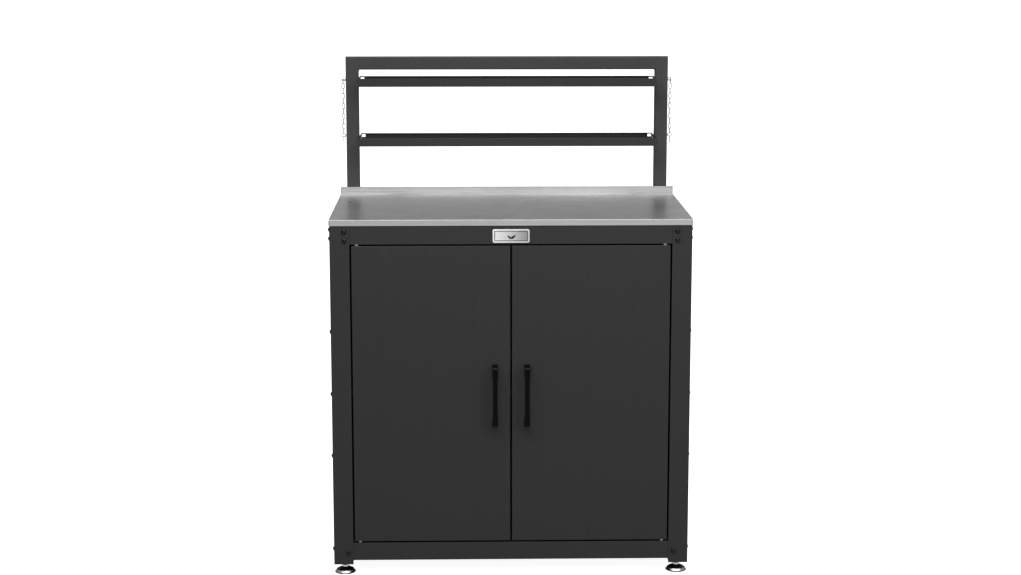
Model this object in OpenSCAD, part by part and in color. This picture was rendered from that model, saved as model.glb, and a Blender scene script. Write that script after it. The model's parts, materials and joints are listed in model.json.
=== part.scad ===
/* [Cabinet] */
// Width over the legs
cabinet_w = 914; // [760:2:1220]
// Depth over the legs
cabinet_d = 510; // [420:2:640]
// Height of the working surface above the floor
worktop_h = 925; // [760:1:1120]
// Width of each leg flange
leg_w = 50; // [41:1:60]
// Depth of the return that stiffens the door side of a front leg
leg_return = 15; // [10:1:17]
// Sheet thickness of legs and rails
frame_t = 1.5; // [1.2:0.1:2]
// Sheet thickness of panels, doors and shelf
panel_t = 1; // [0.8:0.1:1.2]
// Height of the top rails
top_rail_h = 61; // [50:1:80]
// Height of the bottom rails
bottom_rail_h = 45.5; // [38:0.5:60]
// Length of leg below the bottom rails
leg_toe = 11.5; // [6:0.5:30]
// Depth of the rail flanges
rail_flange = 25; // [20:1:30]
// Length of the tab that a rail slides behind a leg flange
rail_tab = 26; // [22:1:30]
// Gap between a rail end and the leg beside it
rail_end_gap = 0.6; // [0.3:0.1:1]

/* [Worktop] */
// Sheet thickness of the worktop
top_t = 1.2; // [1:0.1:1.5]
// Drop of the front and side lips
top_lip = 15; // [12:1:24]
// Gap between the lips and the frame
lip_gap = 0.5; // [0.3:0.1:1]
// Rise of the rear upstand above the working surface
upstand_h = 21; // [10:1:60]
// Depth of the fold along the top of the upstand
upstand_fold = 6; // [4:1:8]
// Height of the channels under the worktop
stiffener_h = 18; // [12:1:22]
// Width of the channels under the worktop
stiffener_w = 60; // [40:1:80]

/* [Doors] */
// Gap round each door
door_gap = 4.5; // [3.7:0.1:6]
// Depth of the folded door
door_d = 20; // [16:1:26]
// Distance from the front of the legs to the face of a door
door_inset = 1; // [0:0.5:3]
// Width of the return round the back of a door
door_return = 14; // [10:1:18]
// Gap between a door's corner and its leg as the door swings
swing_gap = 1.1; // [1:0.1:1.5]
// Radius of the pivot pins
pin_r = 4; // [3:0.5:4]
// Length of pin inside a door bush
pin_reach = 9; // [6:1:9]
// Outer radius of the door bushes
bush_r = 7; // [6:0.5:7]
// Length of the door bushes
bush_h = 11; // [10:1:16]
// Distance between door stiffeners
rib_pitch = 116; // [90:1:120]
// Width of a door stiffener over its feet
rib_w = 48; // [36:1:60]

/* [Handles] */
// Screw spacing of a handle
handle_span = 150; // [96:1:224]
// Distance from the door face to the front of the grip
handle_out = 32; // [28:1:40]
// Thickness of the grip and its legs
handle_t = 8; // [6:0.5:10]
// Width of the grip
grip_w = 12.5; // [10:0.5:16]
// Width of the ends
handle_end_w = 15; // [12:0.5:20]
// Length of each wide end
handle_end = 25; // [20:1:30]
// Outer bend radius
handle_bend = 14; // [10:1:18]
// Distance from a door's free edge to its handle
handle_edge = 38.4; // [25:0.1:60]
// Height of the middle of the handles above the middle of the doors
handle_up = 1; // [-60:0.1:60]

/* [Nameplate] */
// Width of the nameplate
plate_w = 93; // [60:1:120]
// Height of the nameplate
plate_h = 34.5; // [24:0.5:40]
// Thickness of the nameplate
plate_t = 1.5; // [1:0.1:2]
// Height of the middle of the nameplate above the lower edge of its rail
plate_up = 20.7; // [20:0.1:30]

/* [Inside] */
// Drop of the lips round the inner shelf
inner_shelf_lip = 18; // [12:1:25]
// Height of the shelf's side angles
angle_h = 22; // [18:1:30]
// Width of the shelf's side angles
angle_w = 28; // [20:1:35]

/* [Rack] */
// Height of the top of the rack above the working surface
rack_rise = 377; // [310:1:560]
// Distance from the outside of a leg to the outside of an upright
rack_in = 16; // [8:1:20]
// Width and depth of the rack tube
tube_w = 35; // [30:1:42]
// Wall of the rack tube
tube_t = 1.5; // [1.2:0.1:2]
// Corner radius of the rack tube
tube_r = 3; // [2:0.5:4]
// Length of upright below the working surface
upright_down = 185; // [150:5:260]
// Radius of the weld fillet inside the top corners
weld_r = 5; // [3:0.5:8]

/* [Trays] */
// Distance from the top of the rack down to the underside of the upper tray
upper_tray_drop = 76; // [70:1:120]
// Distance that the upper tray stands in front of the uprights
upper_tray_out = 80; // [40:1:110]
// Distance that the upper tray reaches past the backs of the uprights
upper_tray_past = -3; // [-4:1:30]
// Height of the underside of the lower tray above the working surface
lower_tray_rise = 142; // [100:1:190]
// Distance that the lower tray stands in front of the uprights
lower_tray_out = 100; // [60:1:130]
// Distance that the lower tray reaches past the backs of the uprights
lower_tray_past = 20; // [-4:1:40]
// Height of the tray walls
tray_wall = 22; // [20:1:30]
// Sheet thickness of the trays
tray_t = 1.2; // [1:0.1:1.5]
// Thickness of the washers between a tray and the uprights
tray_gap = 2.5; // [1.5:0.5:4]

/* [Chains] */
// Links in each chain
links = 11; // [7:2:13]
// Wire radius of a link
wire_r = 1; // [0.8:0.1:1.2]
// Inside length of a link
link_in = 14; // [12:0.5:16]
// Radius of the middle of the wire round a link's end
link_bend = 3.5; // [3:0.1:4]
// Play between neighbouring links
link_play = 0.2; // [0.1:0.1:0.3]
// Distance from the outside of an upright to its chain
chain_out = 8; // [7.5:0.5:12]
// Distance from the top of the rack down to the pins that the chains hang on
chain_pin_drop = 62; // [45:1:120]
// Head radius of a chain pin
chain_pin_head_r = 5; // [4:0.5:6]
// Radius of the middle of the wire of a chain's D ring
ring_r = 5.4; // [5:0.1:6]
// Wire radius of a D ring
ring_wire = 1.1; // [1:0.1:1.2]
// Distance from the middle of a D ring down to its bar
ring_bar_drop = 3.4; // [3:0.1:3.6]
// Radius of the middle of the wire of the hook's bowl
hook_r = 4.7; // [4.5:0.1:7]

/* [Feet] */
// Height of the leg ends above the floor
foot_h = 27; // [24:1:45]
// Radius of a foot pad
pad_r = 27; // [20:1:27]
// Distance from the outside of the legs to the middle of a foot
foot_in = 27; // [27:1:30]
// Radius of a foot stud
stud_r = 5; // [4:0.5:6]
// Height of the top of a foot stud
stud_top = 64; // [60:1:80]
// Thickness of the foot plates
foot_plate_t = 3; // [2:0.5:4]

/* [Fasteners] */
// Radius of the frame bolts
bolt_r = 3; // [2.5:0.5:3]
// Head radius of the frame bolts
bolt_head_r = 6.5; // [5.5:0.5:7]
// Head height of the frame bolts
bolt_head_h = 5.5; // [3:0.1:6]
// Distance from the free edge of a leg flange to its bolts
bolt_edge = 12.6; // [10:0.2:14]
// Place of the upper top bolts, as a share of the rail that shows under the worktop lip
top_bolt_share = 0.303; // [0.28:0.001:0.34]
// Place of the lower top bolts, as a share of the rail that shows under the worktop lip
low_bolt_share = 0.79; // [0.74:0.01:0.8]
// Height of the bottom bolts above the lower edge of their rails
bottom_bolt_up = 20.5; // [14:0.5:26]
// Distance between the side panel bolts
side_bolt_pitch = 162.6; // [120:0.2:200]
// Height of the middle side panel bolt
side_bolt_z = 470; // [400:1:520]

/* [Fits] */
// Radial clearance of the door pins and foot studs
running_fit = 0.05; // [0.02:0.01:0.1]
// Radial clearance of the bolts
bolt_fit = 0.3; // [0.2:0.05:0.5]
// Gap between faces that move past each other
face_gap = 0.3; // [0.3:0.05:0.5]
// Gap between sheets that stay apart
sheet_gap = 0.5; // [0.3:0.1:1]

/* [Hidden] */
$fn = 48;

// Hardware details
bolt_l = 14;
nut_h = 5;
nut_r = 5.8;
socket_r = 2.3;
stud_nut_h = 8;
stud_nut_r = 9.8;

// Levels, from the floor up
rail_top_z = worktop_h - top_t;
top_rail_z = rail_top_z - top_rail_h;
bottom_rail_z = foot_h + leg_toe;
opening_z = bottom_rail_z + bottom_rail_h;
door_z = opening_z + door_gap;
door_h = top_rail_z - door_gap - door_z;
handle_z = door_z + door_h / 2 + handle_up;
lip_z = worktop_h - top_lip;
bolt_z1 = lip_z - top_bolt_share * (lip_z - top_rail_z);
bolt_z2 = lip_z - low_bolt_share * (lip_z - top_rail_z);
bolt_z3 = bottom_rail_z + bottom_bolt_up;

// Widths
half_w = cabinet_w / 2;
opening_x = half_w - leg_w;
door_w = opening_x - 1.5 * door_gap;
door_out_x = opening_x - door_gap;
pivot_room = door_gap - swing_gap;
pivot_in = (pow(door_d / 2, 2) - pow(pivot_room, 2)) / (2 * pivot_room);
pivot_x = door_out_x - pivot_in;
handle_x = door_gap / 2 + handle_edge;
bolt_in = leg_w - bolt_edge;
rack_w = cabinet_w - 2 * rack_in;
upright_x = rack_w / 2 - tube_w;
tray_w = 2 * (upright_x - tray_gap);
chain_x = rack_w / 2 + chain_out;

// Depths, measured back from the front of the legs
pivot_y = door_inset + door_d / 2;
door_back = door_inset + door_d;
rack_y = cabinet_d;
rack_back = rack_y + tube_w;
upper_tray_d = upper_tray_out + tube_w + upper_tray_past;
lower_tray_d = lower_tray_out + tube_w + lower_tray_past;
chain_y = rack_y + tube_w / 2;
upper_tray_y = rack_y - upper_tray_out;
lower_tray_y = rack_y - lower_tray_out;
front_most = door_inset - handle_out;
rear_most = max(rack_back + bolt_head_h, lower_tray_y + lower_tray_d);
front_y = -(front_most + rear_most) / 2;

// Door catch
catch_w = 70;
catch_d = 15;
catch_h = 14;
strike_t = 1;
catch_y = door_back + strike_t + face_gap;
front_flange = catch_y + catch_d + 2;

// Rails and panels
front_rail_l = cabinet_w - 2 * leg_w - 2 * rail_end_gap;
side_rail_l = cabinet_d - 2 * leg_w - 2 * rail_end_gap;
top_holes = [bolt_z1 - top_rail_z, bolt_z2 - top_rail_z];
bottom_holes = [bolt_z3 - bottom_rail_z];
frame_bolt_zs = [bolt_z1, bolt_z2, bolt_z3];
panel_bolt_zs = [for (i = [-1:1]) side_bolt_z + i * side_bolt_pitch];
panel_in = frame_t + panel_t + 2;
panel_low_z = opening_z + sheet_gap;
panel_high_z = top_rail_z - sheet_gap;
bottom_panel_front = door_back + 3;
inner_shelf_side = half_w - frame_t - panel_t - 1;
door_sweep = sqrt(pow(pivot_in, 2) + pow(door_d / 2, 2));
inner_shelf_front = pivot_y + door_sweep + 2;
inner_shelf_rear = cabinet_d - frame_t - panel_t - 6;
inner_shelf_z = side_bolt_z + angle_h / 2 + panel_t;
angle_front = min(inner_shelf_front + panel_t + sheet_gap, bolt_in - nut_r - 0.7);
plate_hole_r = bolt_r + bolt_fit;

// Worktop studs
weld_stud_r = 2.5;
weld_stud_l = 12;
weld_stud_y = rail_flange / 2 + frame_t;
weld_stud_xs = [for (x = [-1, 0, 1]) x * (front_rail_l / 2 - 30)];

// Rack
rack_h = worktop_h + rack_rise;
upper_tray_z = rack_h - upper_tray_drop;
lower_tray_z = worktop_h + lower_tray_rise;
chain_pin_z = rack_h - chain_pin_drop;
upright_z = worktop_h - upright_down;
rack_bolt_low_z = upright_z + 30;
tray_bolt_r = 2.5;
tray_bolt_ys = [rack_y + 10, rack_y + tube_w - 10];
tray_bolt_zs = [upper_tray_z + tray_wall / 2, lower_tray_z + tray_wall / 2];

// Foot pad: a rim on the floor, a dish on it, and a cone up to the seat of the stud
pad_rim_h = 3.5;
pad_dish_h = 7.5;
pad_h = 15;
pad_step = 1.5;
seat_r = 9.5;
stud_collar_h = 5;

// Chain, from its pin down
chain_pin_r = link_bend - wire_r - 2 * running_fit;
link_pitch = link_in - link_play;
swing_play = 0.45;
link_straight = link_in - 2 * (link_bend - wire_r);
first_link_z = chain_pin_z - link_straight / 2;
last_link_z = first_link_z - (links - 1) * link_pitch;
ring_z = last_link_z - link_in / 2 + ring_wire + link_play / 2 - ring_r;
ring_ball_r = ring_wire + 0.3;
hook_pivot_z = ring_z - ring_bar_drop;
hook_eye_r = 3.1;
hook_eye_z = hook_pivot_z + ring_wire + swing_play - (hook_eye_r - wire_r);
hook_stem = 3.5;
hook_stem_r = wire_r + 0.3;
hook_z = hook_eye_z - hook_eye_r - hook_stem - hook_r;

// Measures depth from the front of the legs, with the origin under the middle of the bench
module placed() {
    translate([0, front_y, 0]) children();
}

// Repeats a left-hand piece as its mirror image on the right
module both_sides() {
    children();
    mirror([1, 0, 0]) children();
}

// Moves a front piece to the same place at the rear
module to_rear() {
    translate([0, cabinet_d, 0]) mirror([0, 1, 0]) children();
}

// Repeats a front piece as its mirror image at the rear
module front_and_rear() {
    children();
    to_rear() children();
}

// A box from its lowest and highest corners
module block(low, high) {
    translate(low) cube(high - low);
}

// A square with round corners
module round_rect(w, h, r) {
    square([w - 2 * r, h], center = true);
    square([w, h - 2 * r], center = true);
    for (x = [-1, 1], y = [-1, 1]) {
        translate([x * (w / 2 - r), y * (h / 2 - r)]) circle(r);
    }
}

// A button head and shank, with the head standing up from z = 0
module bolt(r, head_r, head_h, l) {
    difference() {
        cylinder(r1 = head_r, r2 = head_r * 0.62, h = head_h);
        translate([0, 0, head_h * 0.45]) cylinder(r = socket_r, h = head_h, $fn = 6);
    }
    translate([0, 0, -l]) cylinder(r = r, h = l + 0.01);
}

// A hexagonal nut standing on z = 0
module nut(across_r, r, h) {
    difference() {
        cylinder(r = across_r, h = h, $fn = 6);
        translate([0, 0, -1]) cylinder(r = r, h = h + 2);
    }
}

// Turns a fastener whose head faces +Z so that it faces the front, or the left side
module facing_front() {
    rotate([90, 0, 0]) children();
}
module facing_left() {
    rotate([0, -90, 0]) children();
}

// Places that a left front leg is drilled: its front flange, then its side flange
module front_bolt_places(heights) {
    for (z = heights) translate([-half_w + bolt_in, 0, z]) facing_front() children();
}
module side_bolt_places(heights) {
    for (z = heights) translate([-half_w, bolt_in, z]) facing_left() children();
}

// One folded leg with its bolt holes, drawn as the left front leg. Its children stiffen it.
module leg(front_heights) {
    difference() {
        union() {
            block([-half_w, 0, foot_h], [-half_w + leg_w, frame_t, rail_top_z]);
            block([-half_w, 0, foot_h], [-half_w + frame_t, leg_w, rail_top_z]);
            children();
        }
        front_bolt_places(front_heights)
            cylinder(r = plate_hole_r, h = 4 * frame_t, center = true);
        side_bolt_places(concat(frame_bolt_zs, panel_bolt_zs))
            cylinder(r = plate_hole_r, h = 4 * frame_t, center = true);
    }
}

// A folded rail along X, centred, with its face on y = 0 and its lower edge on z = 0
module rail(l, h, lower_flange, upper_flange, holes) {
    difference() {
        union() {
            block([-l / 2, 0, 0], [l / 2, frame_t, h]);
            block([-l / 2, 0, 0], [l / 2, lower_flange, frame_t]);
            block([-l / 2, 0, h - frame_t], [l / 2, upper_flange, h]);
            both_sides()
                block([-l / 2 - rail_tab, frame_t, frame_t + sheet_gap],
                      [-l / 2 + leg_return, 2 * frame_t, h - frame_t - sheet_gap]);
        }
        both_sides() for (z = holes) {
            translate([-l / 2 - rail_end_gap - leg_w + bolt_in, 0, z]) rotate([90, 0, 0])
                cylinder(r = plate_hole_r, h = 8 * frame_t, center = true);
        }
    }
}

// Holes for the worktop studs in the upper flange of a front or rear top rail
module stud_holes() {
    for (x = weld_stud_xs) translate([x, weld_stud_y, top_rail_h])
        cylinder(r = weld_stud_r + bolt_fit, h = 4 * frame_t, center = true);
}

// Moves a rail drawn along X to the left side of the cabinet
module on_left_side() {
    translate([-half_w, cabinet_d / 2, 0]) rotate([0, 0, -90]) children();
}

// A front leg has a return beside the door
module front_leg() {
    leg(frame_bolt_zs) block([-half_w + leg_w - frame_t, 0, opening_z + sheet_gap],
                             [-half_w + leg_w, leg_return, top_rail_z - sheet_gap]);
}

module left_front_leg() {
    color("#3b3c3e") placed() front_leg();
}

module right_front_leg() {
    color("#3b3c3e") placed() mirror([1, 0, 0]) front_leg();
}

module rear_leg() {
    to_rear() leg(concat(frame_bolt_zs, [rack_bolt_low_z]));
}

module left_rear_leg() {
    color("#3b3c3e") placed() rear_leg();
}

module right_rear_leg() {
    color("#3b3c3e") placed() mirror([1, 0, 0]) rear_leg();
}

module front_top_rail() {
    color("#3f4042") placed() difference() {
        translate([0, 0, top_rail_z])
            rail(front_rail_l, top_rail_h, front_flange, rail_flange, top_holes);
        both_sides() translate([-pivot_x, pivot_y, top_rail_z])
            cylinder(r = pin_r + running_fit, h = 6 * frame_t, center = true);
        translate([0, 0, top_rail_z]) stud_holes();
    }
}

module rear_top_rail() {
    color("#3f4042") placed() translate([0, cabinet_d, top_rail_z]) mirror([0, 1, 0])
        difference() {
            rail(front_rail_l, top_rail_h, rail_flange, rail_flange, top_holes);
            stud_holes();
        }
}

module side_top_rails() {
    color("#3f4042") placed() both_sides() on_left_side() translate([0, 0, top_rail_z])
        rail(side_rail_l, top_rail_h, rail_flange, rail_flange, top_holes);
}

// Tabs under the flange of this rail close the slots at its ends
module front_bottom_rail() {
    color("#37383a") placed() difference() {
        union() {
            translate([0, 0, bottom_rail_z])
                rail(front_rail_l, bottom_rail_h, rail_flange, front_flange, bottom_holes);
            both_sides() block([-opening_x - 5, 2 * frame_t + sheet_gap, opening_z - 2 * frame_t],
                               [-opening_x + 10, front_flange - 2, opening_z - frame_t]);
        }
        both_sides() translate([-pivot_x, pivot_y, opening_z])
            cylinder(r = pin_r + running_fit, h = 6 * frame_t, center = true);
    }
}

module rear_bottom_rail() {
    color("#37383a") placed() translate([0, cabinet_d, bottom_rail_z]) mirror([0, 1, 0])
        rail(front_rail_l, bottom_rail_h, rail_flange, rail_flange, bottom_holes);
}

module side_bottom_rails() {
    color("#37383a") placed() both_sides() on_left_side() translate([0, 0, bottom_rail_z])
        rail(side_rail_l, bottom_rail_h, rail_flange, rail_flange, bottom_holes);
}

// The sheet that closes one side, held between the legs and bolted to them
module side_wall() {
    difference() {
        block([-half_w + frame_t, panel_in, panel_low_z],
              [-half_w + frame_t + panel_t, cabinet_d - panel_in, panel_high_z]);
        front_and_rear() side_bolt_places(panel_bolt_zs)
            cylinder(r = plate_hole_r, h = 8 * frame_t, center = true);
    }
}

module left_side_panel() {
    color("#3a3b3d") placed() side_wall();
}

module right_side_panel() {
    color("#3a3b3d") placed() mirror([1, 0, 0]) side_wall();
}

module back_panel() {
    color("#3a3b3d") placed() difference() {
        block([-half_w + panel_in, cabinet_d - frame_t - panel_t, panel_low_z],
              [half_w - panel_in, cabinet_d - frame_t, panel_high_z]);
        both_sides() translate([-half_w + bolt_in, cabinet_d, rack_bolt_low_z]) facing_front()
            cylinder(r = plate_hole_r, h = 8 * frame_t, center = true);
    }
}

module bottom_panel() {
    side = half_w - frame_t - panel_t - sheet_gap;
    rear = cabinet_d - frame_t - panel_t - sheet_gap;
    color("#353638") placed()
        block([-side, bottom_panel_front, opening_z], [side, rear, opening_z + panel_t]);
}

// A shelf with front and rear lips, open at its ends, and with room for the angles and their nuts
module inner_shelf() {
    low_z = inner_shelf_z - 2 * inner_shelf_lip;
    color("#404144") placed() difference() {
        block([-inner_shelf_side, inner_shelf_front, inner_shelf_z - inner_shelf_lip],
              [inner_shelf_side, inner_shelf_rear, inner_shelf_z]);
        block([-inner_shelf_side - 1, inner_shelf_front + panel_t, low_z],
              [inner_shelf_side + 1, inner_shelf_rear - panel_t, inner_shelf_z - panel_t]);
        both_sides() block([-inner_shelf_side - 1, angle_front - face_gap, low_z],
                           [-inner_shelf_side + angle_w + 2, cabinet_d / 2, inner_shelf_z - panel_t]);
    }
}

// Angles bolted through the side panels, with the shelf lying on their upper legs
module shelf_angle() {
    out = half_w - frame_t - panel_t;
    top = inner_shelf_z - panel_t;
    rear = inner_shelf_rear - panel_t - sheet_gap;
    difference() {
        union() {
            block([-out, angle_front, top - angle_h], [-out + frame_t, rear, top]);
            block([-out, angle_front, top - frame_t], [-out + angle_w, rear, top]);
        }
        front_and_rear() side_bolt_places([side_bolt_z])
            cylinder(r = plate_hole_r, h = 12 * frame_t, center = true);
    }
}

module shelf_angles() {
    color("#353638") placed() both_sides() shelf_angle();
}

// Repeats a left front piece at all four corners
module four_corners() {
    both_sides() front_and_rear() children();
}

module foot_plates() {
    color("#37383a") placed() four_corners() difference() {
        block([-half_w + frame_t, frame_t, foot_h],
              [-half_w + leg_w - frame_t, leg_w - frame_t, foot_h + foot_plate_t]);
        translate([-half_w + foot_in, foot_in, foot_h])
            cylinder(r = stud_r + running_fit, h = 4 * foot_plate_t, center = true);
    }
}

module foot_nuts() {
    color("#b9bbbd") placed() four_corners()
        translate([-half_w + foot_in, foot_in, foot_h + foot_plate_t])
            nut(stud_nut_r, stud_r + running_fit, stud_nut_h);
}

module worktop() {
    out = half_w + lip_gap + top_t;
    front = -lip_gap - top_t;
    color("#c9cbcc") placed() {
        difference() {
            block([-out, front, worktop_h - top_lip], [out, cabinet_d, worktop_h]);
            block([-out + top_t, front + top_t, worktop_h - 2 * top_lip],
                  [out - top_t, cabinet_d + 1, worktop_h - top_t]);
        }
        block([-out, cabinet_d - top_t, worktop_h - top_t], [out, cabinet_d, worktop_h + upstand_h]);
        block([-out, cabinet_d - upstand_fold, worktop_h + upstand_h - top_t],
              [out, cabinet_d, worktop_h + upstand_h]);
    }
}

// Hat channels under the worktop, open side up
module worktop_stiffeners() {
    reach = half_w - rail_flange - 12;
    color("#9da0a2") placed() for (y = [1, 2]) {
        translate([0, y * cabinet_d / 3, rail_top_z - stiffener_h]) difference() {
            block([-reach, -stiffener_w / 2, 0], [reach, stiffener_w / 2, stiffener_h]);
            block([-reach - 1, -stiffener_w / 2 + frame_t, frame_t],
                  [reach + 1, stiffener_w / 2 - frame_t, stiffener_h + 1]);
        }
    }
}

// Studs welded under the worktop, through the rails' upper flanges
module worktop_studs() {
    color("#b9bbbd") placed() front_and_rear() for (x = weld_stud_xs) {
        translate([x, weld_stud_y, rail_top_z - weld_stud_l]) cylinder(r = weld_stud_r, h = weld_stud_l);
    }
}

module nameplate() {
    color("#bfc1c2") placed() translate([0, 0, top_rail_z + plate_up]) rotate([90, 0, 0]) difference() {
        linear_extrude(plate_t) round_rect(plate_w, plate_h, 4);
        translate([0, 0, plate_t - 0.4]) linear_extrude(1) difference() {
            round_rect(plate_w - 9, plate_h - 9, 2.5);
            round_rect(plate_w - 12, plate_h - 12, 2);
        }
    }
}

module frame_bolts() {
    color("#232426") placed() both_sides() {
        front_bolt_places(frame_bolt_zs) bolt(bolt_r, bolt_head_r, bolt_head_h, bolt_l);
        to_rear() front_bolt_places([bolt_z3]) bolt(bolt_r, bolt_head_r, bolt_head_h, bolt_l);
        front_and_rear() side_bolt_places(concat(frame_bolt_zs, panel_bolt_zs))
            bolt(bolt_r, bolt_head_r, bolt_head_h, bolt_l);
    }
}

// Nuts behind the sheets that each bolt clamps
module frame_nuts() {
    rail_grip = 2 * frame_t;
    panel_grip = frame_t + panel_t;
    color("#a9abad") placed() both_sides() {
        front_bolt_places(frame_bolt_zs) translate([0, 0, -rail_grip - nut_h])
            nut(nut_r, bolt_r + running_fit, nut_h);
        to_rear() {
            front_bolt_places([bolt_z1, bolt_z2, bolt_z3]) translate([0, 0, -rail_grip - nut_h])
                nut(nut_r, bolt_r + running_fit, nut_h);
            front_bolt_places([rack_bolt_low_z]) translate([0, 0, -panel_grip - nut_h])
                nut(nut_r, bolt_r + running_fit, nut_h);
        }
        front_and_rear() {
            side_bolt_places(frame_bolt_zs) translate([0, 0, -rail_grip - nut_h])
                nut(nut_r, bolt_r + running_fit, nut_h);
            side_bolt_places([for (z = panel_bolt_zs) if (z != side_bolt_z) z])
                translate([0, 0, -panel_grip - nut_h]) nut(nut_r, bolt_r + running_fit, nut_h);
            side_bolt_places([side_bolt_z])
                translate([0, 0, -panel_grip - frame_t - nut_h]) nut(nut_r, bolt_r + running_fit, nut_h);
        }
    }
    color("#a9abad") placed() front_and_rear() for (x = weld_stud_xs) {
        translate([x, weld_stud_y, rail_top_z - frame_t - 4]) nut(4.6, weld_stud_r + running_fit, 4);
    }
}

// Twin magnetic catch under the front top rail, with a steel-faced magnet for each door
module door_catch() {
    color("#1c1c1d") placed() {
        block([-catch_w / 2, catch_y + 3, top_rail_z - catch_h],
              [catch_w / 2, catch_y + catch_d, top_rail_z]);
        both_sides() block([-catch_w / 2 + 4, catch_y, top_rail_z - catch_h + 2],
                           [-4, catch_y + 3, top_rail_z - 3]);
    }
}

// Pins riveted into the rails: a head, a collar in the gap and the journal
module pivot_pin() {
    translate([0, 0, frame_t]) cylinder(r = pin_r + 3, h = 2.5);
    translate([0, 0, -door_gap + face_gap]) cylinder(r = pin_r + 2, h = door_gap - face_gap);
    translate([0, 0, -door_gap - pin_reach]) cylinder(r = pin_r, h = door_gap + pin_reach + frame_t + 0.1);
}

module pivot_pins(side) {
    translate([side * pivot_x, pivot_y, top_rail_z]) pivot_pin();
    translate([side * pivot_x, pivot_y, opening_z]) mirror([0, 0, 1]) pivot_pin();
}

module left_pivot_pins() {
    color("#c4c6c8") placed() pivot_pins(-1);
}

module right_pivot_pins() {
    color("#c4c6c8") placed() pivot_pins(1);
}

// The left door as a folded pan, open at the back
module door_panel() {
    x0 = -door_out_x;
    x1 = x0 + door_w;
    z1 = door_z + door_h;
    inner = door_inset + panel_t;
    difference() {
        block([x0, door_inset, door_z], [x1, door_back, z1]);
        block([x0 + panel_t, inner, door_z + panel_t], [x1 - panel_t, door_back - panel_t, z1 - panel_t]);
        block([x0 + door_return, inner, door_z + door_return],
              [x1 - door_return, door_back + 1, z1 - door_return]);
        translate([-pivot_x, pivot_y, door_z])
            cylinder(r = bush_r + running_fit, h = 4 * panel_t, center = true);
        translate([-pivot_x, pivot_y, z1])
            cylinder(r = bush_r + running_fit, h = 4 * panel_t, center = true);
        translate([-handle_x, 0, handle_z]) handle_screw_places()
            cylinder(r = 2.2 + bolt_fit, h = 4 * door_d, center = true);
    }
}

// Three hat channels behind the face of the left door
module door_stiffeners() {
    mid = -door_out_x + door_w / 2;
    depth = door_d - 2 * panel_t - 4;
    face = door_inset + panel_t;
    end = door_return + 20;
    for (i = [-1:1]) translate([mid + i * rib_pitch, face, door_z + end]) {
        block([-rib_w / 2, 0, 0], [-rib_w / 4, panel_t, door_h - 2 * end]);
        block([rib_w / 4, 0, 0], [rib_w / 2, panel_t, door_h - 2 * end]);
        difference() {
            block([-rib_w / 4 - panel_t, 0, 0], [rib_w / 4 + panel_t, depth, door_h - 2 * end]);
            block([-rib_w / 4, -1, -1], [rib_w / 4, depth - panel_t, door_h]);
        }
    }
}

module door_bushes() {
    for (z = [door_z, door_z + door_h - bush_h]) {
        translate([-pivot_x, pivot_y, z]) difference() {
            cylinder(r = bush_r, h = bush_h);
            translate([0, 0, -1]) cylinder(r = pin_r + running_fit, h = bush_h + 2);
        }
    }
}

module strike_plate() {
    x1 = -door_gap / 2 - 5;
    z1 = door_z + door_h;
    block([x1 - 26, door_back, z1 - door_return + 1], [x1, door_back + strike_t, z1 - 1]);
}

// The side view of a handle, with z = 0 at its middle and the door face on x = 0
module handle_outline() {
    l = handle_span + handle_t;
    inner_bend = handle_bend - handle_t;
    difference() {
        union() {
            translate([0, -l / 2]) square([handle_out - handle_bend, l]);
            translate([0, -l / 2 + handle_bend]) square([handle_out, l - 2 * handle_bend]);
            for (s = [-1, 1]) translate([handle_out - handle_bend, s * (l / 2 - handle_bend)])
                circle(handle_bend);
        }
        translate([-1, -l / 2 + handle_t])
            square([handle_out - handle_bend + 1, l - 2 * handle_t]);
        translate([-1, -l / 2 + handle_bend])
            square([handle_out - handle_t + 1, l - 2 * handle_bend]);
        for (s = [-1, 1]) translate([handle_out - handle_bend, s * (l / 2 - handle_bend)])
            circle(inner_bend);
    }
}

// Extrudes the handle outline to a width, with its door face towards +Y
module handle_strap(w) {
    rotate([0, 0, -90]) rotate([90, 0, 0]) translate([0, 0, -w / 2]) linear_extrude(w) handle_outline();
}

module handle_screw_places() {
    for (s = [-1, 1]) translate([0, 0, s * handle_span / 2]) facing_front() children();
}

module handle() {
    l = handle_span + handle_t;
    translate([-handle_x, door_inset, handle_z]) difference() {
        union() {
            handle_strap(grip_w);
            intersection() {
                handle_strap(handle_end_w);
                for (s = [-1, 1]) translate([0, 0, s * (l / 2 - handle_end / 2)])
                    cube([2 * handle_end_w, 4 * handle_out, handle_end], center = true);
            }
        }
        handle_screw_places() translate([0, 0, -1]) cylinder(r = 2.2, h = 13);
    }
}

// Screws from inside the door into the handle's legs
module handle_screws() {
    translate([-handle_x, door_inset + panel_t, handle_z]) handle_screw_places() {
        translate([0, 0, -3]) cylinder(r = 4.5, h = 3);
        cylinder(r = 2, h = panel_t + 10);
    }
}

module left_door_panel() {
    color("#3c3d3f") placed() door_panel();
}

module left_door_stiffeners() {
    color("#333436") placed() door_stiffeners();
}

module left_door_bushes() {
    color("#e3e1da") placed() door_bushes();
}

module left_strike_plate() {
    color("#b4b6b8") placed() strike_plate();
}

module left_handle() {
    color("#141415") placed() handle();
}

module left_handle_screws() {
    color("#b4b6b8") placed() handle_screws();
}

module right_door_panel() {
    color("#3c3d3f") placed() mirror([1, 0, 0]) door_panel();
}

module right_door_stiffeners() {
    color("#333436") placed() mirror([1, 0, 0]) door_stiffeners();
}

module right_door_bushes() {
    color("#e3e1da") placed() mirror([1, 0, 0]) door_bushes();
}

module right_strike_plate() {
    color("#b4b6b8") placed() mirror([1, 0, 0]) strike_plate();
}

module right_handle() {
    color("#141415") placed() mirror([1, 0, 0]) handle();
}

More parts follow.
